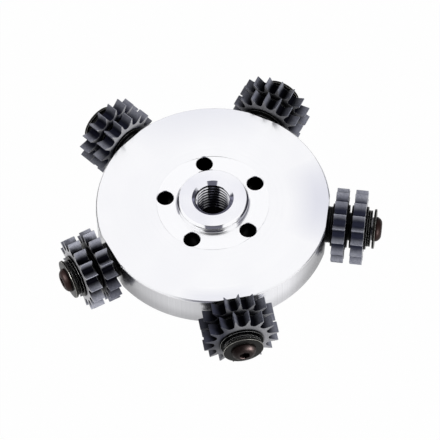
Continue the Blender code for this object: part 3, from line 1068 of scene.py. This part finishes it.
def build_screw(station, material):
    kind = "axle_screw"
    start, end, _, head_radius = station.measure(kind)
    seat = station.measure("head_washer")[1] + SEAT_GAP
    # The rounder crown bulges beyond the measured chords, so it starts a little lower
    end -= CROWN_ROOM
    shape = rings_to_shape(screw_rings(start, end, head_radius, seat), RING_FACETS)
    screw = add_mesh(kind + station.suffix + "_turned", shape, material, station.matrix)
    boolean_cut(screw, socket_cutter(end, station.matrix))
    finish_shading(screw)
    stand_for(screw, kind + station.suffix, "root", "bronzed_steel")


def socket_cutter(end, place):
    """A hexagon with a conical floor and a slightly opened mouth."""
    corner = SOCKET_ACROSS_FLATS / 2.0 / math.cos(math.pi / SOCKET_SIDES)
    sections = [
        (corner + SOCKET_CHAMFER + SOCKET_SPARE, end + SOCKET_SPARE),
        (corner, end - SOCKET_CHAMFER),
        (corner, end - SOCKET_DEPTH),
        (SOCKET_POINT_RADIUS, end - SOCKET_DEPTH - SOCKET_POINT_DEPTH),
    ]
    shape = bmesh.new()
    loops = [ring(shape, reach, height, SOCKET_SIDES) for reach, height in sections]
    bridge(shape, loops)
    cap_ends(shape, loops)
    return add_mesh("socket_cutter", shape, MATERIALS["bronzed_steel"], place)


# Turned pieces: kind, section, material, the record's slot and the rounding of its corners
TURNED = (
    ("head_washer", washer_section, "head_washer", "bronzed_steel", 0.25 * MM),
    ("sleeve", washer_section, "plain_steel", "plain_steel", 0.2 * MM),
    # The inner spacer, inner thrust washer and spool take the shaded copy of black steel
    ("inner_spacer", grooved_section, "shaded_black_steel", "black_steel", 0.1 * MM),
    ("inner_thrust_washer", washer_section, "shaded_black_steel", "black_steel", 0.15 * MM),
    ("outer_thrust_washer", washer_section, "black_steel", "black_steel", 0.15 * MM),
    ("inner_shim", washer_section, "black_steel", "black_steel", 0.15 * MM),
    ("outer_shim", washer_section, "black_steel", "black_steel", 0.15 * MM),
    ("spool_spacer", spool_section, "shaded_black_steel", "black_steel", 0.15 * MM),
)


def build_station(station, number):
    build_screw(station, MATERIALS["bronzed_steel"])
    for kind, section, material, slot, corner in TURNED:
        build_turned(station, kind, section(station, kind), material, slot, corner)
    build_wheel(station, "inner_star_wheel", MATERIALS["carbide"], number * 2.0)
    build_wheel(station, "outer_star_wheel", MATERIALS["carbide"], number * 2.0 + 1.0)


# Studio


def look_at(location, target, roll=0.0):
    """World matrix of a camera or light at location that faces target."""
    forward = (target - location).normalized()
    right = forward.cross(UP).normalized()
    up = right.cross(forward)
    turned_right = right * math.cos(roll) + up * math.sin(roll)
    turned_up = up * math.cos(roll) - right * math.sin(roll)
    matrix = Matrix((turned_right, turned_up, -forward)).transposed().to_4x4()
    matrix.translation = location
    return matrix


def direction_to(azimuth, elevation):
    """Unit vector towards an azimuth, which is 0 at -Y, and an elevation."""
    return Vector(
        (
            math.sin(azimuth) * math.cos(elevation),
            -math.cos(azimuth) * math.cos(elevation),
            math.sin(elevation),
        )
    )


def add_camera():
    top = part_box("carrier_disc")[1].z - BOSS_HEIGHT
    toward = direction_to(CAMERA_AZIMUTH, CAMERA_ELEVATION)
    right = (-toward).cross(UP).normalized()
    up = right.cross(-toward)
    slide = right * CAMERA_SLIDE[0] + up * CAMERA_SLIDE[1]
    location = Vector((0.0, 0.0, top)) + toward * CAMERA_DISTANCE + slide
    data = bpy.data.cameras.new("camera")
    data.lens = CAMERA_LENS
    data.sensor_width = CAMERA_SENSOR_WIDTH
    data.clip_start = 0.01
    data.clip_end = 20.0
    camera = bpy.data.objects.new("camera", data)
    bpy.context.scene.collection.objects.link(camera)
    camera.matrix_world = look_at(location, location - toward, CAMERA_ROLL)
    bpy.context.scene.camera = camera


def add_softbox(name, azimuth, elevation, size, radiance, lit):
    """A square area light at an angle from the camera's azimuth, for one family of pieces."""
    data = bpy.data.lights.new(name, "AREA")
    data.shape = "SQUARE"
    data.size = size
    data.energy = radiance * math.pi * size * size
    light = bpy.data.objects.new(name, data)
    bpy.context.scene.collection.objects.link(light)
    toward = direction_to(CAMERA_AZIMUTH + math.radians(azimuth), math.radians(elevation))
    light.matrix_world = look_at(toward * SOFTBOX_DISTANCE, Vector((0.0, 0.0, 0.0)))
    light.light_linking.receiver_collection = LIT[lit]
    # The near head shows this light as a highlight only
    light.visible_diffuse = lit != "front_head"


def tent_colour(nodes):
    """A white tent, open behind the camera and dark along the horizon."""
    way = nodes.add("ShaderNodeTexCoord").outputs["Generated"]
    z = nodes.add("ShaderNodeSeparateXYZ", {0: way}).outputs[2]
    front = direction_to(CAMERA_AZIMUTH, 0.0)
    ahead = nodes.dot(way, front)
    aside = nodes.dot(way, UP.cross(front))
    azimuth = nodes.math("ARCTAN2", aside, ahead)
    opening = nodes.ramp(nodes.math("ABSOLUTE", aside), 0.33, 0.37, 1.0, 0.0)
    opening = nodes.math("MULTIPLY", opening, nodes.ramp(ahead, 0.2, 0.35))
    inside = nodes.mix(nodes.ramp(z, 0.55, 0.75), OPENING_LOW, OPENING_HIGH)
    tent = nodes.mix(opening, TENT_WHITE, inside)
    # The dark band is higher on the right, except where a bright panel stands
    right = nodes.ramp(azimuth, -0.3, 0.3)
    beyond = nodes.ramp(azimuth, math.radians(78.0), math.radians(112.0), 0.2, 0.1)
    low = nodes.math("MULTIPLY_ADD", right, beyond, 0.15)
    panel = nodes.ramp(azimuth, 0.35, 0.5)
    panel = nodes.math("MULTIPLY", panel, nodes.ramp(azimuth, 1.35, 1.2))
    low = nodes.math("SUBTRACT", low, nodes.math("MULTIPLY", panel, 0.5))
    sky = nodes.ramp(nodes.math("SUBTRACT", z, low), -0.03, 0.03)
    return nodes.mix(sky, HORIZON, tent)


def add_world():
    """White to the camera, the tent to reflections, and a weaker tent to matte surfaces."""
    world = bpy.data.worlds.new("studio")
    world.use_nodes = True
    nodes = Nodes(world.node_tree)
    tent = tent_colour(nodes)
    path = nodes.add("ShaderNodeLightPath").outputs
    glossy = nodes.background(tent, 1.0)
    ambient = nodes.background(tent, 0.15)
    around = nodes.blend(path["Is Diffuse Ray"], glossy, ambient)
    seen = nodes.background(WHITE, 1.0)
    shown = nodes.blend(path["Is Camera Ray"], around, seen)
    nodes.add("ShaderNodeOutputWorld", {"Surface": shown})
    bpy.context.scene.world = world


def add_floor(height):
    """A plain white sweep: faint shadows and a painted shadow under the disc to the camera, unseen
    from below.
    """
    material, nodes = new_material("floor_white")
    coordinates, _, radius, _ = disc_coordinates(nodes)
    path = nodes.add("ShaderNodeLightPath").outputs
    paper = nodes.mix(nodes.noise(coordinates, 40.0, 3.0), PAPER_DARK, PAPER_LIGHT)
    # The floor under the disc is painted dark, as the disc's shadow
    paper = nodes.mix(nodes.ramp(radius, 28.0 * MM, 44.0 * MM), UNDER_DISC_PAINTED_SHADOW, paper)
    diffuse = nodes.add("ShaderNodeBsdfDiffuse", {"Color": paper, "Roughness": 0.6})
    glow = nodes.add("ShaderNodeEmission", {"Color": WHITE, "Strength": 1.0})
    # How much of the floor glows, to the camera, to reflections and to other rays
    viewed = nodes.ramp(radius, 34.0 * MM, 42.0 * MM, 0.0, 0.99)
    mirrored = nodes.ramp(radius, 25.0 * MM, 32.0 * MM, 0.0, 0.6)
    far = nodes.ramp(radius, 46.0 * MM, 60.0 * MM, 0.0, 0.97)
    mirrored = nodes.math("MAXIMUM", mirrored, far)
    mirrored = nodes.math("MULTIPLY", path["Is Glossy Ray"], mirrored)
    bounced = nodes.ramp(radius, 44.0 * MM, 60.0 * MM, 0.0, 0.75)
    bounced = nodes.math("MAXIMUM", bounced, mirrored)
    gap = nodes.math("SUBTRACT", viewed, bounced)
    lift = nodes.math("MULTIPLY_ADD", path["Is Camera Ray"], gap, bounced)
    near = nodes.blend(lift, diffuse.outputs[0], glow.outputs[0])
    unseen = nodes.math("SUBTRACT", 1.0, path["Is Camera Ray"])
    away = nodes.math("MULTIPLY", unseen, nodes.ramp(radius, 0.14, 0.3))
    dark = nodes.add("ShaderNodeBsdfDiffuse", {"Color": FAR_FLOOR})
    seen = nodes.blend(away, near, dark.outputs[0])
    behind = nodes.add("ShaderNodeNewGeometry").outputs["Backfacing"]
    clear = nodes.add("ShaderNodeBsdfTransparent")
    nodes.surface(nodes.blend(behind, seen, clear.outputs[0]))
    shape = bmesh.new()
    bmesh.ops.create_grid(shape, x_segments=8, y_segments=8, size=FLOOR_HALF_WIDTH)
    floor = add_mesh("floor", shape, material, Matrix.Translation((0.0, 0.0, height)))


MATERIALS = {
    "turned_aluminium": turned_aluminium(),
    "carbide": sintered_carbide(),
}
for name, finish in STEELS.items():
    MATERIALS[name] = oiled_steel(name + "_visual", finish)
STATIONS = [Station(number) for number in range(1, STATION_COUNT + 1)]

build_disc(MATERIALS["turned_aluminium"])
for number, station in enumerate(STATIONS):
    build_station(station, number)

add_floor(CAD_BOX[0].z - FLOOR_GAP)
add_world()
add_camera()
for softbox in SOFTBOXES:
    add_softbox(*softbox)
bpy.context.scene.view_settings.view_transform = "Standard"
